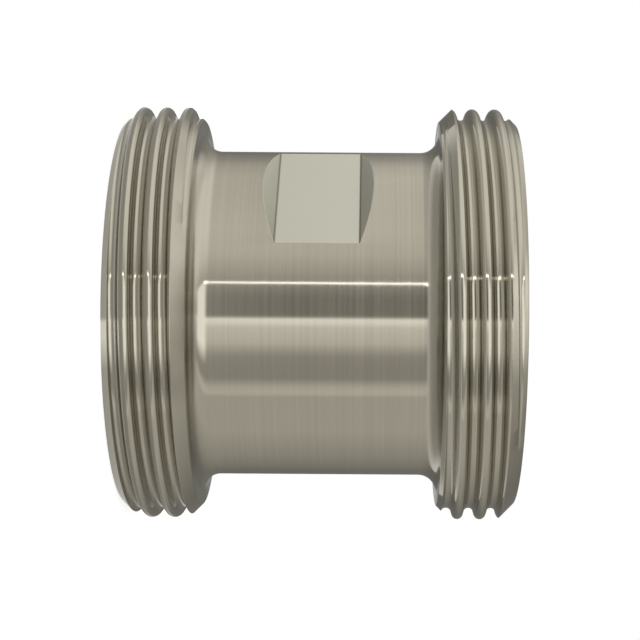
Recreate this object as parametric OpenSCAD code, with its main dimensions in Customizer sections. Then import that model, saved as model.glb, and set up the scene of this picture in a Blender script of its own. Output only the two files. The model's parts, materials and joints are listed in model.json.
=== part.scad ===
// Dairy pipe male coupling: one turned stainless steel piece.
// Both ends carry a right-hand round thread, the plain body between them
// has two opposite spanner flats, and the bore carries milk or water.
// It stands on its lower end face, with its axis along +Z.

/* [Threaded ends] */
// Length of the coupling from end face to end face
overall_len = 73; // [66:0.5:110]
// Length of each threaded end along the axis
end_len = 14.4; // [12:0.2:18]
// Diameter over the thread crests
thread_d = 78; // [76:0.5:84]
// Threads in each inch of length
threads_per_inch = 6; // [5:0.5:7]
// Depth of the thread from crest to root
thread_depth = 2.12; // [1.6:0.02:2.3]
// Radius of the rounded thread crest
crest_r = 1; // [0.7:0.05:1.1]
// Angle between the two flanks of a thread
flank_angle = 30; // [20:1:36]
// Leg of the 45 degree chamfer at each end face
face_chamfer = 2.9; // [2.4:0.1:3.6]
// Leg of the 45 degree chamfer where each thread faces the body
back_chamfer = 2.5; // [2.4:0.1:3.6]
// Angle about the axis at which the lower thread starts
lower_start = -30; // [-180:1:180]
// Angle about the axis at which the upper thread starts
upper_start = 150; // [-180:1:180]

/* [Body] */
// Diameter of the plain body
body_d = 61.4; // [59:0.2:63]
// Radius of the hollow corner between the body and each threaded end
corner_r = 3.4; // [1.5:0.1:5]
// Width across the spanner flats
across_flats = 55; // [54:0.5:58]
// Length of each spanner flat along the axis
flat_len = 15; // [8:0.5:20]
// Slope of the run-out at both ends of a flat
runout_angle = 53; // [35:1:80]

/* [Bore] */
// Diameter of the bore
bore_d = 50; // [44:0.5:51]
// Diameter of the gasket seat in each end face
seat_d = 64; // [60:0.5:66]
// Depth of each gasket seat
seat_depth = 4; // [2:0.5:6]
// Diameter of the lead-in cone where it meets the gasket seat
cone_d = 54; // [52:0.5:58]
// Slope of the lead-in cone from the axis
cone_angle = 15; // [10:1:30]
// Leg of the small chamfer at the mouth of each gasket seat
mouth_chamfer = 0.4; // [0.2:0.1:0.8]

/* [Hidden] */
$fn = 120;
inch = 25.4;
half_len = overall_len / 2;
thread_r = thread_d / 2;
root_r = thread_r - thread_depth;
pitch = inch / threads_per_inch;
half_flank = flank_angle / 2;
body_r = body_d / 2;
bore_r = bore_d / 2;
seat_r = seat_d / 2;
cone_r = cone_d / 2;
cone_len = (cone_r - bore_r) / tan(cone_angle);
flat_y = across_flats / 2;
flat_depth = body_r - flat_y;
// How far a cutting or joining shape runs past the face that it meets
overlap = 1;
// How deep the foot of a thread ridge is sunk in the core
ridge_sink = 0.6;
// Flat faces in one turn of a thread ridge
turn_steps = 60;
// Straight stretches along the rounded crest
crest_steps = 6;
// Where the crest's rounding meets the flanks, and the foot of the ridge
crest_centre = thread_r - crest_r;
tangent_half = crest_r * cos(half_flank);
tangent_r = crest_centre + crest_r * sin(half_flank);
foot_r = root_r - ridge_sink;
foot_half = tangent_half + (tangent_r - foot_r) * tan(half_flank);

// Section of the ridge as [radius, height] points, from foot to foot
function ridge_section() = concat(
    [[foot_r, -foot_half]],
    [for (i = [0 : crest_steps])
        let (a = (90 - half_flank) * (2 * i / crest_steps - 1))
        [crest_centre + crest_r * cos(a), crest_r * sin(a)]],
    [[foot_r, foot_half]]
);

// Turns one section point about the axis and lifts it along the helix
function on_helix(p, angle, z) = [p[0] * cos(angle), p[0] * sin(angle), p[1] + z];

// Right-hand ridge that starts below the end face and leaves past the thread
module thread_ridge(start_angle) {
    section = ridge_section();
    count = len(section);
    steps = ceil(turn_steps * (end_len + 2 * foot_half) / pitch);
    points = [for (s = [0 : steps], p = section)
        let (z = -foot_half + s * pitch / turn_steps)
        on_helix(p, start_angle + 360 * z / pitch, z)];
    sides = [for (s = [0 : steps - 1], j = [0 : count - 1])
        let (a = s * count + j, b = s * count + (j + 1) % count)
        each [[a, b, b + count], [a, b + count, a + count]]];
    first_cap = [for (j = [1 : count - 2]) [0, j + 1, j]];
    last = steps * count;
    last_cap = [for (j = [1 : count - 2]) [last, last + j, last + j + 1]];
    polyhedron(points, concat(sides, first_cap, last_cap));
}

// Half section of the space inside the two chamfers of a threaded end
module chamfered_outline(outer_r) {
    polygon([
        [0, 0],
        [thread_r - face_chamfer, 0],
        [outer_r, outer_r - thread_r + face_chamfer],
        [outer_r, end_len - (outer_r - thread_r + back_chamfer)],
        [thread_r - back_chamfer, end_len],
        [0, end_len]
    ]);
}

// Ridge of one end, cut off by the chamfers at both sides
module chamfered_ridge(start_angle) {
    intersection() {
        thread_ridge(start_angle);
        rotate_extrude() chamfered_outline(thread_r + overlap);
    }
}

// Half section of the lower half of the body, up to the middle
module half_outline() {
    chamfered_outline(root_r);
    square([body_r, half_len]);
    translate([body_r, end_len]) difference() {
        translate([-overlap, -overlap]) square(corner_r + overlap);
        translate([corner_r, corner_r]) circle(corner_r);
    }
}

// Half section of the hollow inside, from the lower face to the middle
module half_hollow() {
    polygon([
        [0, -overlap],
        [seat_r + mouth_chamfer + overlap, -overlap],
        [seat_r, mouth_chamfer],
        [seat_r, seat_depth],
        [cone_r, seat_depth],
        [bore_r, seat_depth + cone_len],
        [bore_r, half_len],
        [0, half_len]
    ]);
}

// Draws a lower half section and its mirror image above the middle
module both_halves() {
    children();
    translate([0, overall_len]) mirror([0, 1]) children();
}

// Cutter for one spanner flat on the +Y side, with a sloped run-out each way
module flat_cutter() {
    rise = flat_depth + overlap;
    run = rise / tan(runout_angle);
    translate([-body_r, 0, half_len]) rotate([90, 0, 90])
        linear_extrude(body_d) polygon([
            [flat_y, -flat_len / 2],
            [flat_y + rise, -flat_len / 2 - run],
            [flat_y + rise, flat_len / 2 + run],
            [flat_y, flat_len / 2]
        ]);
}

module coupling_body() {
    color([0.66, 0.65, 0.6]) difference() {
        union() {
            rotate_extrude() both_halves() half_outline();
            chamfered_ridge(lower_start);
            translate([0, 0, overall_len]) rotate([180, 0, 0]) chamfered_ridge(upper_start);
        }
        rotate_extrude() both_halves() half_hollow();
        flat_cutter();
        mirror([0, 1, 0]) flat_cutter();
    }
}

coupling_body();
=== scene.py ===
# Looks of the dairy pipe male coupling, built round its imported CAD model.
# It stands on its lower end with its axis along +Z, and the photograph shows it
# lying on its side, so the camera is turned a quarter turn about its own line of sight.
import json
import math

import bpy
from mathutils import Matrix, Vector


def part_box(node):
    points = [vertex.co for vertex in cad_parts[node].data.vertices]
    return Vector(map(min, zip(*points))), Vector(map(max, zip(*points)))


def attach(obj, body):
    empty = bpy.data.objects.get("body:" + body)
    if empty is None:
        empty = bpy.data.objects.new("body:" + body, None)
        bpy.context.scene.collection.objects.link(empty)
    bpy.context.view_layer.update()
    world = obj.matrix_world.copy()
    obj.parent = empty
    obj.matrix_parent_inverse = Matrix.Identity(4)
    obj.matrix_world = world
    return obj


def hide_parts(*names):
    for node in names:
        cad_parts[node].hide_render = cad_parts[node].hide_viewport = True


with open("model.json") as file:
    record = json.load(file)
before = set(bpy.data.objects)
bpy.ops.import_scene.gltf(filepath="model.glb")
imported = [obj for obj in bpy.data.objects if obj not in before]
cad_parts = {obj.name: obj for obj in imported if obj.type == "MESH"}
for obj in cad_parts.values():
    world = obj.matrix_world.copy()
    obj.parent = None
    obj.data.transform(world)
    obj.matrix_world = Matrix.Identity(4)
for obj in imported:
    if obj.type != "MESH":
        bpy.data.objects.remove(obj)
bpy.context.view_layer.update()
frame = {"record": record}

MM = 0.001
PIECE = "turned_coupling"
NODE = "coupling_body"

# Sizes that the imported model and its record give, in millimetres
MOUNTS = {m["name"]: m for m in frame["record"]["mounts"]}
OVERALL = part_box(NODE)[1].z / MM
THREAD_R = MOUNTS["lower_thread"]["dims"]["r_mm"]
END_LEN = MOUNTS["lower_thread"]["dims"]["length_mm"]
BORE_R = MOUNTS["flow_bore"]["dims"]["r_mm"]
SEAT_R = MOUNTS["lower_gasket_seat"]["dims"]["r_mm"]
FLAT_Y = MOUNTS["spanner_flat_back"]["pos_m"][1] / MM

# The other sizes of the part, in millimetres and degrees
PITCH = 25.4 / 6
THREAD_DEPTH = 2.12
CREST_R = 1.0
ROOT_CORNER_R = 1.0
HALF_FLANK = 15
FACE_CHAMFER = 2.9
BACK_CHAMFER = 2.5
LOWER_START = -30
UPPER_START = 150
BODY_R = 30.7
CORNER_R = 3.4
FLAT_LEN = 15
RUNOUT_ANGLE = 53
SEAT_DEPTH = 4
MOUTH_CHAMFER = 0.4
CONE_R = 27
CONE_ANGLE = 15

# Radii of the turned blank's own edges, of those beside a thread, and of the edge
# where the mouth chamfer ends in the seat
EDGE_R = 0.15
THREAD_EDGE_R = 0.3
MOUTH_EDGE_R = 0.05
# Faces in one turn, turn of one step of a rounded corner and its fewest steps, and the
# steepest angle between two faces of a smooth surface
TURN_STEPS = 240
ARC_STEP = math.radians(10)
FEWEST_ARC_STEPS = 2
SMOOTH_ANGLE = math.radians(18)
# How far a blank or a cutter stands past the surface that it shapes
SPARE = 0.3
# Turns of a thread cutter below the end face, and in all past the thread's own
TURNS_BELOW = 1.6
TURNS_MORE = 2.2
# Growth of a thread cutter outwards, to well past the blank
CUTTER_GROWTH = 1.15
# Points that lie closer than this are one point
WELD = 0.001 * MM
# Cosine past which a face counts as facing a direction
FACING = 0.9


def start_mesh():
    """Nothing is selected, so that an operator acts on the new primitive alone."""
    bpy.ops.object.select_all(action="DESELECT")


def pick(piece):
    """Selects one piece alone, for an operator to act on."""
    bpy.ops.object.select_all(action="DESELECT")
    bpy.context.view_layer.objects.active = piece
    piece.select_set(True)


def name_active(name, material):
    """Names the new primitive and gives it its material."""
    piece = bpy.context.object
    piece.name = name
    piece.data.name = name
    piece.data.materials.append(material)
    return piece


def arc_points(before, corner, after, radius):
    """Points of the arc that rounds one corner of a [radius, height] outline."""
    a, b = (before - corner).normalized(), (after - corner).normalized()
    half = a.angle(b) / 2
    leg = radius / math.tan(half)
    centre = corner + (a + b).normalized() * (radius / math.sin(half))
    first, last = corner + a * leg - centre, corner + b * leg - centre
    turn = first.angle_signed(last)
    steps = max(FEWEST_ARC_STEPS, math.ceil(abs(turn) / ARC_STEP))
    return [centre + Matrix.Rotation(-turn * i / steps, 2) @ first for i in range(steps + 1)]


def rounded(corners, closed):
    """Outline through corners of (radius, height, corner radius), with its corners rounded."""
    flat = [Vector(c[:2]) for c in corners]
    points = []
    for i, (_, _, radius) in enumerate(corners):
        at_end = not closed and i in (0, len(corners) - 1)
        if radius == 0 or at_end:
            points.append(flat[i])
        else:
            points += arc_points(flat[i - 1], flat[i], flat[(i + 1) % len(flat)], radius)
    return points


def lathe(name, outline, material):
    """A ring is drawn out and scaled from point to point of a closed outline."""
    start_mesh()
    first = outline[0] * MM
    bpy.ops.mesh.primitive_circle_add(vertices=TURN_STEPS, radius=first.x, location=(0, 0, first.y))
    piece = name_active(name, material)
    bpy.ops.object.transform_apply(location=True, rotation=False, scale=False)
    bpy.ops.object.mode_set(mode="EDIT")
    for here, there in zip(outline, outline[1:] + outline[:1]):
        rise, growth = (there.y - here.y) * MM, there.x / here.x
        bpy.ops.mesh.extrude_edges_move(TRANSFORM_OT_translate={"value": (0, 0, rise)})
        bpy.ops.transform.resize(value=(growth, growth, 1), center_override=(0, 0, there.y * MM))
    close_up()
    return piece


def close_up():
    """Seams are welded and faces turned outwards, and edit mode is left."""
    bpy.ops.mesh.select_all(action="SELECT")
    bpy.ops.mesh.remove_doubles(threshold=WELD)
    bpy.ops.mesh.normals_make_consistent(inside=False)
    bpy.ops.object.mode_set(mode="OBJECT")


def blank_outline():
    """Closed outline of the turned blank, threads left out, from the lower seat round and back."""
    cone_len = (CONE_R - BORE_R) / math.tan(math.radians(CONE_ANGLE))
    blank_r = THREAD_R + SPARE
    face_r = THREAD_R - FACE_CHAMFER
    back_r = THREAD_R - BACK_CHAMFER
    lower_outside = [
        (SEAT_R + MOUTH_CHAMFER, 0, EDGE_R),
        (face_r, 0, THREAD_EDGE_R),
        (blank_r, FACE_CHAMFER + SPARE, 0),
        (blank_r, END_LEN - BACK_CHAMFER - SPARE, 0),
        (back_r, END_LEN, THREAD_EDGE_R),
        (BODY_R, END_LEN, CORNER_R),
    ]
    lower_inside = [
        (BORE_R, SEAT_DEPTH + cone_len, EDGE_R),
        (CONE_R, SEAT_DEPTH, EDGE_R),
        (SEAT_R, SEAT_DEPTH, EDGE_R),
        (SEAT_R, MOUTH_CHAMFER, MOUTH_EDGE_R),
    ]
    upper_outside = [(r, OVERALL - z, c) for r, z, c in reversed(lower_outside)]
    upper_inside = [(r, OVERALL - z, c) for r, z, c in reversed(lower_inside)]
    return rounded(lower_outside + upper_outside + upper_inside + lower_inside, closed=True)


def thread_outline():
    """Outline of one pitch of the thread, from root to root, with its crest at height 0."""
    root_r = THREAD_R - THREAD_DEPTH
    lean = math.radians(HALF_FLANK)
    tip_r = THREAD_R - CREST_R + CREST_R / math.sin(lean)
    foot_half = (tip_r - root_r) * math.tan(lean)
    corners = [
        (root_r, -PITCH / 2, 0),
        (root_r, -foot_half, ROOT_CORNER_R),
        (tip_r, 0, CREST_R),
        (root_r, foot_half, ROOT_CORNER_R),
        (root_r, PITCH / 2, 0),
    ]
    return rounded(corners, closed=False)


def thread_cutter(name, start_angle, material):
    """Everything outside the thread surface, as a closed ring that is cut from the blank."""
    outline = thread_outline()
    lowest = -TURNS_BELOW * PITCH
    first_crest = lowest + (-start_angle / 360 * PITCH - lowest) % PITCH
    turns = math.ceil(END_LEN / PITCH + TURNS_MORE)
    start_mesh()
    first = outline[0] * MM
    bpy.ops.mesh.primitive_plane_add(size=MM, location=(first.x, 0, first.y + first_crest * MM))
    cutter = name_active(name, material)
    bpy.ops.object.transform_apply(location=True, rotation=False, scale=False)
    bpy.ops.object.mode_set(mode="EDIT")
    bpy.ops.mesh.select_mode(type="VERT")
    bpy.ops.mesh.merge(type="CENTER")
    for here, there in zip(outline, outline[1:]):
        step = (there - here) * MM
        bpy.ops.mesh.extrude_vertices_move(TRANSFORM_OT_translate={"value": (step.x, 0, step.y)})
    bpy.ops.object.mode_set(mode="OBJECT")
    helix = cutter.modifiers.new("helix", "SCREW")
    helix.axis = "Z"
    helix.angle = 2 * math.pi
    helix.screw_offset = PITCH * MM
    helix.iterations = turns
    helix.steps = helix.render_steps = TURN_STEPS
    bpy.ops.object.modifier_apply(modifier=helix.name)
    bpy.ops.object.mode_set(mode="EDIT")
    bpy.ops.mesh.select_all(action="SELECT")
    bpy.ops.mesh.remove_doubles(threshold=WELD)
    bpy.ops.mesh.select_all(action="DESELECT")
    bpy.ops.mesh.select_mode(type="EDGE")
    bpy.ops.mesh.select_non_manifold(extend=False)
    bpy.ops.mesh.extrude_edges_move(TRANSFORM_OT_translate={"value": (0, 0, 0)})
    bpy.ops.transform.resize(value=(CUTTER_GROWTH, CUTTER_GROWTH, 1), center_override=(0, 0, 0))
    bpy.ops.mesh.bridge_edge_loops()
    close_up()
    return cutter


def flat_cutter(name, side, material):
    """Block that mills one spanner flat with its two sloped run-outs, on the side +1 or -1 of Y."""
    rise = BODY_R - FLAT_Y + SPARE
    run = rise / math.tan(math.radians(RUNOUT_ANGLE))
    start_mesh()
    centre = (0, side * (FLAT_Y + rise / 2) * MM, OVERALL / 2 * MM)
    bpy.ops.mesh.primitive_cube_add(size=1, location=centre)
    cutter = name_active(name, material)
    bpy.ops.transform.resize(value=(2 * BODY_R * MM, rise * MM, FLAT_LEN * MM))
    bpy.ops.object.transform_apply(location=True, rotation=False, scale=True)
    bpy.ops.object.mode_set(mode="EDIT")
    bpy.ops.mesh.select_mode(type="FACE")
    bpy.ops.mesh.select_all(action="DESELECT")
    bpy.ops.object.mode_set(mode="OBJECT")
    for face in cutter.data.polygons:
        face.select = side * face.normal.y > FACING
    bpy.ops.object.mode_set(mode="EDIT")
    widening = (FLAT_LEN + 2 * run) / FLAT_LEN
    bpy.ops.transform.resize(value=(1, 1, widening), center_override=(0, 0, OVERALL / 2 * MM))
    close_up()
    return cutter


def cut(piece, cutter):
    """The cutter is taken out of the piece, and its faces leave their material on the cut."""
    pick(piece)
    taking = piece.modifiers.new("cut", "BOOLEAN")
    taking.operation = "DIFFERENCE"
    taking.solver = "MANIFOLD"
    taking.object = cutter
    taking.material_mode = "TRANSFER"
    bpy.ops.object.modifier_apply(modifier=taking.name)
    bpy.data.objects.remove(cutter)


def turn_over(cutter):
    """A cutter for the lower end is turned end for end, to fit the upper end."""
    cutter.rotation_euler = (math.pi, 0, 0)
    cutter.location = (0, 0, OVERALL * MM)
    pick(cutter)
    bpy.ops.object.transform_apply(location=True, rotation=True, scale=False)


class Value:
    """A node's output socket, on which Python's operators add Math nodes."""

    def __init__(self, nodes, socket):
        self.nodes = nodes
        self.socket = socket

    def maths(self, operation, *others):
        """Adds a Math node that takes this value and the others."""
        inputs = dict(enumerate((self, *others)))
        return self.nodes.add("ShaderNodeMath", {"operation": operation}, inputs)

    def __add__(self, other):
        return self.maths("ADD", other)

    __radd__ = __add__

    def __sub__(self, other):
        return self.maths("SUBTRACT", other)

    def __rsub__(self, other):
        return self * -1 + other

    def __mul__(self, other):
        return self.maths("MULTIPLY", other)

    __rmul__ = __mul__

    def __truediv__(self, other):
        return self.maths("DIVIDE", other)

    def __pow__(self, other):
        return self.maths("POWER", other)

    def clamped(self):
        """This value, held between 0 and 1."""
        return self.nodes.add("ShaderNodeClamp", {}, {"Value": self})

    def between(self, low, high, soft):
        """1 between two limits and 0 outside them, with edges that are soft wide."""
        rise = ((self - low) / soft + 0.5).clamped()
        return rise * ((high - self) / soft + 0.5).clamped()

    def towards(self, other, share):
        """This value where share is 0 and the other one where it is 1."""
        return self + (other - self) * share

    def dot(self, axis):
        """Part of this vector along an axis."""
        product = self.nodes.add("ShaderNodeVectorMath", {"operation": "DOT_PRODUCT"}, {
            0: self, 1: axis})
        return product.output("Value")

    def part(self, axis):
        """X, Y or Z of this vector."""
        return self.nodes.add("ShaderNodeSeparateXYZ", {}, {0: self}).output(axis)

    def output(self, name):
        """Another output of the same node."""
        return Value(self.nodes, self.socket.node.outputs[name])


class Nodes:
    """The node tree of one material or world, filled from expressions."""

    def __init__(self, owner):
        owner.use_nodes = True
        self.tree = owner.node_tree
        self.tree.nodes.clear()

    def add(self, kind, settings=None, inputs=None):
        """Adds one node: its settings first, then the values or links of its sockets."""
        node = self.tree.nodes.new(kind)
        for name, value in (settings or {}).items():
            if name == "stops":
                self.set_stops(node.color_ramp, value)
            else:
                setattr(node, name, value)
        for name, value in (inputs or {}).items():
            if isinstance(value, Value):
                self.tree.links.new(value.socket, node.inputs[name])
            else:
                node.inputs[name].default_value = value
        outputs = [o for o in node.outputs if o.enabled]
        return Value(self, outputs[0]) if outputs else None

    def seen(self, share):
        """1 where the camera looks, and a share of it where metal and glass show the same."""
        ray = self.add("ShaderNodeLightPath")
        mirrored = ray.output("Is Glossy Ray") + ray.output("Is Transmission Ray")
        return ray.output("Is Camera Ray") + mirrored * share

    def set_stops(self, ramp, stops):
        """Gives a ramp its (place, colour) stops."""
        while len(ramp.elements) < len(stops):
            ramp.elements.new(1)
        for element, (place, colour) in zip(ramp.elements, stops):
            element.position = place
            element.color = (*colour, 1)

    def noise(self, place, scale, detail):
        """Soft noise between 0 and 1."""
        return self.add("ShaderNodeTexNoise", {}, {
            "Vector": place, "Scale": scale, "Detail": detail})

    def blend(self, values, shares):
        """Sum of values, each times its share."""
        return sum((value * share for value, share in zip(values, shares)), 0)

    def mix(self, factor, a, b):
        """Colour a where factor is 0 and colour b where it is 1."""
        return self.add("ShaderNodeMix", {"data_type": "RGBA"}, {"Factor": factor, "A": a, "B": b})


# Warm greys of the steel, linear: turned and milled surfaces, each with its darker streaks
TURNED = (0.505, 0.487, 0.429, 1)
TURNED_DARK = (0.405, 0.387, 0.33, 1)
MILLED = (0.62, 0.624, 0.56, 1)
MILLED_DARK = (0.585, 0.588, 0.524, 1)
# Run-outs at both ends of a flat, and the painted shade line along the crease where each one meets
# the flat
RUNOUT = (0.5, 0.497, 0.44, 1)
RUNOUT_CREASE_PAINTED_SHADE = (0.24, 0.235, 0.2, 1)
LINE_HALF = 0.15 * MM
RUNOUT_SOFT = 0.1 * MM
# Radius to which the light sees every sharp edge rounded
BROKEN_EDGE = 0.2 * MM
EDGE_SAMPLES = 6
# The lathe's rings: noise stretched round the axis and squeezed along it, where the
# distance from the axis counts for a part, so that the end faces have rings too
RINGS_ACROSS = 6
RINGS_ALONG = 900
RADIUS_SHARE = 0.7
FINE_RINGS = 2.6
BROAD_RINGS = 0.4
CLOUDS = 45
# Detail of the fine noises and of the soft ones, and the middle of every noise
FINE_DETAIL = 3
SOFT_DETAIL = 2
NOISE_MIDDLE = 0.5
# How much fine rings, broad rings and clouds count in the streaks of colour, and the
# level below which there is no lighter streak
STREAK_SHARES = (0.6, 0.4, 0.3)
STREAK_LOW = 0.25
# How much fine and broad rings count in the height of the surface
HEIGHT_SHARES = (0.7, 0.3)
# How far the roughness strays with the fine rings and with the clouds
ROUGHNESS_STRAY = 0.06
# Roughness and depth of the rings on the body and on the threads
BODY_ROUGHNESS = 0.13
BODY_RINGS = 0.003 * MM
THREAD_ROUGHNESS = 0.12
THREAD_RINGS = 0.002 * MM
# Highlights are drawn out across the rings, along the axis
ANISOTROPY = 1.0
ACROSS_RINGS = 0.25
# The milling cutter's straight marks on a flat and the blotches between them, and how
# much each of the two counts in the colour
MARKS_ACROSS = 60
MARKS_ALONG = 1400
MARKS = 1.6
BLOTCHES = 90
MARK_SHARES = (0.5, 0.5)
MARK_DEPTH = 0.004 * MM
MILLED_ROUGHNESS = 0.45
MILLED_STRAY = 0.1


def broken_bump(nodes, height, depth):
    """Bump of a height, on a surface whose sharp edges the light sees rounded."""
    edges = nodes.add("ShaderNodeBevel", {"samples": EDGE_SAMPLES}, {"Radius": BROKEN_EDGE})
    return nodes.add("ShaderNodeBump", {}, {
        "Height": height, "Strength": 1.0, "Distance": depth, "Normal": edges})


def turned_steel(name, roughness, ring_depth):
    """Steel with fine rings round the axis, as the lathe tool leaves it."""
    material = bpy.data.materials.new(name)
    nodes = Nodes(material)
    place = nodes.add("ShaderNodeTexCoord").output("Object")
    x, y, z = (place.part(axis) for axis in "XYZ")
    along = z + (x * x + y * y) ** 0.5 * RADIUS_SHARE
    rings_at = nodes.add("ShaderNodeCombineXYZ", {}, {
        "X": x * RINGS_ACROSS, "Y": y * RINGS_ACROSS, "Z": along * RINGS_ALONG})
    fine = nodes.noise(rings_at, FINE_RINGS, FINE_DETAIL)
    broad = nodes.noise(rings_at, BROAD_RINGS, SOFT_DETAIL)
    cloud = nodes.noise(place, CLOUDS, SOFT_DETAIL)
    streaks = nodes.blend((fine, broad, cloud), STREAK_SHARES) - STREAK_LOW
    shader = nodes.add("ShaderNodeBsdfPrincipled", {}, {
        "Base Color": nodes.mix(streaks.clamped(), TURNED_DARK, TURNED),
        "Metallic": 1.0,
        "Roughness": (fine + cloud - 2 * NOISE_MIDDLE) * ROUGHNESS_STRAY + roughness,
        "Anisotropic": ANISOTROPY,
        "Anisotropic Rotation": ACROSS_RINGS,
        "Normal": broken_bump(nodes, nodes.blend((fine, broad), HEIGHT_SHARES), ring_depth),
    })
    nodes.add("ShaderNodeOutputMaterial", {}, {"Surface": shader})
    return material


def milled_steel(name):
    """Steel with straight, close cutter marks, for the spanner flats."""
    material = bpy.data.materials.new(name)
    nodes = Nodes(material)
    place = nodes.add("ShaderNodeTexCoord").output("Object")
    x, z = place.part("X"), place.part("Z")
    marks_at = nodes.add("ShaderNodeCombineXYZ", {}, {"X": x * MARKS_ACROSS, "Z": z * MARKS_ALONG})
    marks = nodes.noise(marks_at, MARKS, FINE_DETAIL)
    blotches = nodes.noise(place, BLOTCHES, SOFT_DETAIL)
    past_end = (z - OVERALL / 2 * MM).maths("ABSOLUTE") - FLAT_LEN / 2 * MM
    colour = nodes.mix(nodes.blend((marks, blotches), MARK_SHARES), MILLED_DARK, MILLED)
    colour = nodes.mix((past_end / RUNOUT_SOFT).clamped(), colour, RUNOUT)
    # Painted shade: a dark line along the crease where each run-out meets the flat
    colour = nodes.mix(past_end.between(-LINE_HALF, LINE_HALF, LINE_HALF), colour, RUNOUT_CREASE_PAINTED_SHADE)
    shader = nodes.add("ShaderNodeBsdfPrincipled", {}, {
        "Base Color": colour,
        "Metallic": 1.0,
        "Roughness": (marks - NOISE_MIDDLE) * MILLED_STRAY + MILLED_ROUGHNESS,
        "Normal": broken_bump(nodes, marks, MARK_DEPTH),
    })
    nodes.add("ShaderNodeOutputMaterial", {}, {"Surface": shader})
    return material


def coupling():
    """The whole coupling: a turned blank with two threads cut and two flats milled."""
    plain = turned_steel("turned_steel", BODY_ROUGHNESS, BODY_RINGS)
    threaded = turned_steel("threaded_steel", THREAD_ROUGHNESS, THREAD_RINGS)
    milled = milled_steel("milled_steel")
    piece = lathe(PIECE, blank_outline(), plain)
    cut(piece, thread_cutter("lower_die", LOWER_START, threaded))
    upper = thread_cutter("upper_die", UPPER_START, threaded)
    turn_over(upper)
    cut(piece, upper)
    for side in (1, -1):
        cut(piece, flat_cutter("milling_cutter", side, milled))
    bpy.ops.object.shade_smooth_by_angle(angle=SMOOTH_ANGLE)
    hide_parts(NODE)
    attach(piece, "root")
    return piece


# The photograph's camera: its place, its line of sight and its frame
CAMERA_AZIMUTH = math.radians(50)
CAMERA_DISTANCE = 320 * MM
CAMERA_HEIGHT = 45.9 * MM
CAMERA_ROLL = math.radians(0.39)
FOCAL_PIXELS = 1669
IMAGE_PIXELS = 640
SIGHT_AT = (370, 313.6)
CLIP_START = 10 * MM
TOWARDS_CAMERA = Vector((math.sin(CAMERA_AZIMUTH), -math.cos(CAMERA_AZIMUTH), 0))
PHOTO_RIGHT = Vector((0, 0, 1))
PHOTO_UP = TOWARDS_CAMERA.cross(PHOTO_RIGHT)


def camera():
    """Camera with the photograph's view: level, and turned so that the axis lies across."""
    data = bpy.data.cameras.new("camera")
    data.lens = FOCAL_PIXELS / IMAGE_PIXELS * data.sensor_width
    data.shift_x = (IMAGE_PIXELS / 2 - SIGHT_AT[0]) / IMAGE_PIXELS
    data.shift_y = (SIGHT_AT[1] - IMAGE_PIXELS / 2) / IMAGE_PIXELS
    data.clip_start = CLIP_START
    view = bpy.data.objects.new("camera", data)
    bpy.context.scene.collection.objects.link(view)
    turned = Matrix((PHOTO_RIGHT, PHOTO_UP, TOWARDS_CAMERA)).transposed()
    turned = turned @ Matrix.Rotation(CAMERA_ROLL, 3, "Z")
    place = TOWARDS_CAMERA * CAMERA_DISTANCE + Vector((0, 0, CAMERA_HEIGHT))
    view.matrix_world = Matrix.Translation(place) @ turned.to_4x4()
    bpy.context.scene.camera = view


# What stands round the part's axis, and how bright it is: (angle, level) pairs, in
# degrees from the camera towards the photograph's top
SURROUNDINGS = {
    "dark behind, below": [(-180, 0.12), (-150, 0.2)],
    "lower wall": [(-120, 0.42), (-90, 0.58), (-60, 0.58)],
    "edge of the table": [(-58, 0.75), (-53, 0.7)],
    "table": [(-46, 0.4), (-30, 0.42)],
    "front lamp": [(-24, 0.62), (-21, 0.77), (-10, 0.92), (-6, 1.3), (-4, 1.3)],
    "dark of the camera": [(-2.5, 0.25), (10, 0.25), (19, 0.38)],
    "upper wall": [(21, 0.5), (30, 0.65), (42, 0.82), (60, 0.88), (110, 0.84), (125, 0.7)],
    "dark behind, above": [(140, 0.42), (155, 0.25), (180, 0.12)],
}
BRIGHTEST = max(level for band in SURROUNDINGS.values() for angle, level in band)
# Strength of the surroundings, at which the middle greys of the photograph come out
LIGHT = 1.19
# A limit that no angle, sine or distance reaches, so that this side stays open
OPEN = 4
# Thin light tube across the photograph, brighter at both ends, with its reach and
# softness in radians and in the sine of the angle towards the photograph's right
TUBE = 2.4
TUBE_ENDS = 8
TUBE_TURN = (math.radians(20.2), math.radians(21.2), math.radians(0.3))
TUBE_MIDDLE_TILT = (-0.15, 0.12, 0.04)
TUBE_TILT = (-0.4, 0.3, 0.1)
# Dim walls, up to a level, give warm light, and lamps give almost white light
WALL_TINT = (1, 0.965, 0.88, 1)
LAMP_TINT = (1, 0.985, 0.96, 1)
WALL_LEVEL = 0.6
# The walls grow lighter towards the photograph's top right, between two sines of the
# angle towards its left and its right
RIGHT_GAIN = 1.65
LEFT_REACH = 0.1
RIGHT_REACH = 0.05
# Lamp on the right of the camera, with its reach and softness in radians, where it
# fades out downwards, and in the sine of the angle towards the photograph's right
SIDE_LAMP = 1.36
SIDE_LAMP_TURN = (-OPEN, math.radians(21), math.radians(2))
SIDE_LAMP_FADE = (math.radians(-29.5), OPEN, math.radians(15))
SIDE_LAMP_TILT = (0.17, 0.86, 0.14)
# Light wall above and behind the part, towards the photograph's right
BACK_WALL = 0.76
BACK_WALL_TURN = (math.radians(125), math.radians(170), math.radians(20))
BACK_WALL_TILT = (0.4, 0.8, 0.2)
# Light ceiling, which is straight on the photograph's right: it is brighter where it
# passes behind the part, and darker towards the photograph's bottom, with a dark frame
FRAME = 0.45
FRAME_TILT = (0.88, 0.95, 0.04)
FRAME_UP = (-OPEN, 0, 0.1)
CEILING = 0.82
CEILING_TILT = (0.95, OPEN, 0.05)
CEILING_LAMP = 1.25
CEILING_LAMP_OUT = (-OPEN, 0.03, 0.06)
CEILING_BOTTOM = 0.45
CEILING_LIGHT_UP = (-0.12, OPEN, 0.45)
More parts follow.
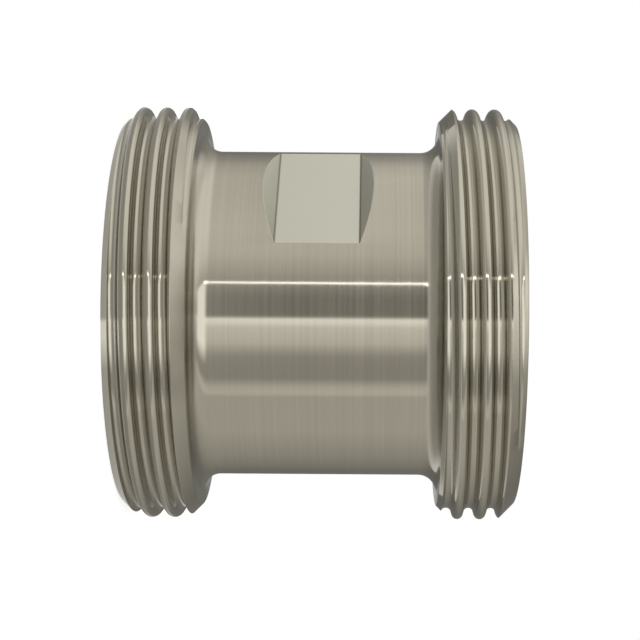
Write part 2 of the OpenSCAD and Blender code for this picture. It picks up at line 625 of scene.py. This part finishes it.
# Half of the angle under which the part sees the white backdrop
BACKDROP_HALF = math.radians(6)
BACKDROP_SOFT = 0.008
WHITE = (1, 1, 1, 1)


def studio():
    """World of soft lights and dark screens, white behind the part and where the camera sees it."""
    world = bpy.data.worlds.new("studio")
    bpy.context.scene.world = world
    nodes = Nodes(world)
    direction = nodes.add("ShaderNodeTexCoord").output("Generated")
    out, up, right = (direction.dot(axis) for axis in (TOWARDS_CAMERA, PHOTO_UP, PHOTO_RIGHT))
    turn = up.maths("ARCTAN2", out)
    stops = [
        ((angle + 180) / 360, [level / BRIGHTEST] * 3)
        for band in SURROUNDINGS.values() for angle, level in band
    ]
    bands = nodes.add("ShaderNodeValToRGB", {"stops": stops}, {"Fac": turn / (2 * math.pi) + 0.5})
    side = right.maths("MINIMUM", RIGHT_REACH).maths("MAXIMUM", -LEFT_REACH)
    level = bands * BRIGHTEST * (side * (up + 1) * RIGHT_GAIN + 1)
    lamp = turn.between(*SIDE_LAMP_TURN) * turn.between(*SIDE_LAMP_FADE)
    lamp = lamp * right.between(*SIDE_LAMP_TILT)
    level = level.towards(SIDE_LAMP, lamp)
    level = level.towards(BACK_WALL, turn.between(*BACK_WALL_TURN) * right.between(*BACK_WALL_TILT))
    level = level.towards(FRAME, right.between(*FRAME_TILT) * up.between(*FRAME_UP))
    ceiling = out.between(*CEILING_LAMP_OUT) * (CEILING_LAMP - CEILING) + CEILING
    ceiling = ceiling * (up.between(*CEILING_LIGHT_UP) * (1 - CEILING_BOTTOM) + CEILING_BOTTOM)
    level = level.towards(ceiling, right.between(*CEILING_TILT))
    tube = right.between(*TUBE_MIDDLE_TILT) * (TUBE - TUBE_ENDS) + TUBE_ENDS
    level = level.towards(tube, turn.between(*TUBE_TURN) * right.between(*TUBE_TILT))
    behind = out.between(-OPEN, -math.cos(BACKDROP_HALF), BACKDROP_SOFT)
    seen = nodes.seen(behind)
    tint = nodes.mix((level - WALL_LEVEL).clamped(), WALL_TINT, LAMP_TINT)
    tinted = nodes.add("ShaderNodeVectorMath", {"operation": "SCALE"}, {
        0: tint, "Scale": level * LIGHT})
    shader = nodes.add("ShaderNodeBackground", {}, {"Color": nodes.mix(seen, tinted, WHITE)})
    nodes.add("ShaderNodeOutputWorld", {}, {"Surface": shader})


# Floor, a hair below the part, so that the two have no face in one plane
FLOOR_R = 160 * MM
FLOOR_SIDES = 96
FLOOR_DROP = 0.02 * MM
FLOOR_GREY = (0.6, 0.6, 0.6, 1)
FLOOR_ROUGHNESS = 0.9
FLOOR_GLOW = 0.75
# How white the metal shows the floor, by millimetres from the axis: a painted shadow, dark round
# the part where it shades the floor, and a painted light ring right at its foot
FLOOR_PAINTED_SHADOW_IN_METAL = [(38.4, 0.5), (39.2, 0.05), (52, 0), (90, 0), (125, 0.4), (160, 0.5)]
# Glowing patch of floor, no lamp, painted there for the highlight that the lower chamfer shows from
# below, with its reach and softness in radians round the axis, where it fades out downwards, and in
# metres from the axis
PAINTED_GLINT_PATCH = 1.3
PAINTED_GLINT_TURN = (-OPEN, math.radians(-2.2), math.radians(1.5))
PAINTED_GLINT_FADE = (math.radians(-11.5), OPEN, math.radians(9))
PAINTED_GLINT_FROM_AXIS = (-OPEN, 38.8 * MM, 0.6 * MM)


def floor():
    """Pale round floor under the part. It shows white, and keeps the part's shadow. In the metal it
    shows a painted shadow round the part and a painted glow under the lower chamfer.
    """
    start_mesh()
    bpy.ops.mesh.primitive_circle_add(
        vertices=FLOOR_SIDES, radius=FLOOR_R, fill_type="NGON", location=(0, 0, -FLOOR_DROP))
    material = bpy.data.materials.new("pale_floor")
    disc = name_active("floor", material)
    bpy.ops.object.transform_apply(location=True, rotation=False, scale=False)
    nodes = Nodes(material)
    place = nodes.add("ShaderNodeTexCoord").output("Object")
    radius = nodes.add("ShaderNodeVectorMath", {"operation": "LENGTH"}, {0: place}).output("Value")
    stops = [(r * MM / FLOOR_R, [white] * 3) for r, white in FLOOR_PAINTED_SHADOW_IN_METAL]
    # Painted shadow in the floor as the metal shows it: dark round the part, light at its foot
    clear = nodes.add("ShaderNodeValToRGB", {"stops": stops}, {"Fac": radius / FLOOR_R})
    turn = place.dot(PHOTO_UP).maths("ARCTAN2", place.dot(TOWARDS_CAMERA))
    # Painted highlight for the lower chamfer: a glowing patch of floor, no lamp
    lamp = turn.between(*PAINTED_GLINT_TURN) * turn.between(*PAINTED_GLINT_FADE)
    lamp = lamp * radius.between(*PAINTED_GLINT_FROM_AXIS)
    seen = nodes.seen(clear.towards(PAINTED_GLINT_PATCH, lamp))
    shader = nodes.add("ShaderNodeBsdfPrincipled", {}, {
        "Base Color": FLOOR_GREY,
        "Roughness": FLOOR_ROUGHNESS,
        "Specular IOR Level": 0.0,
    })
    glow = nodes.add("ShaderNodeEmission", {}, {"Color": seen, "Strength": FLOOR_GLOW})
    both = nodes.add("ShaderNodeAddShader", {}, {0: shader, 1: glow})
    nodes.add("ShaderNodeOutputMaterial", {}, {"Surface": both})


bpy.context.scene.view_settings.view_transform = "Standard"
camera()
studio()
floor()
coupling()
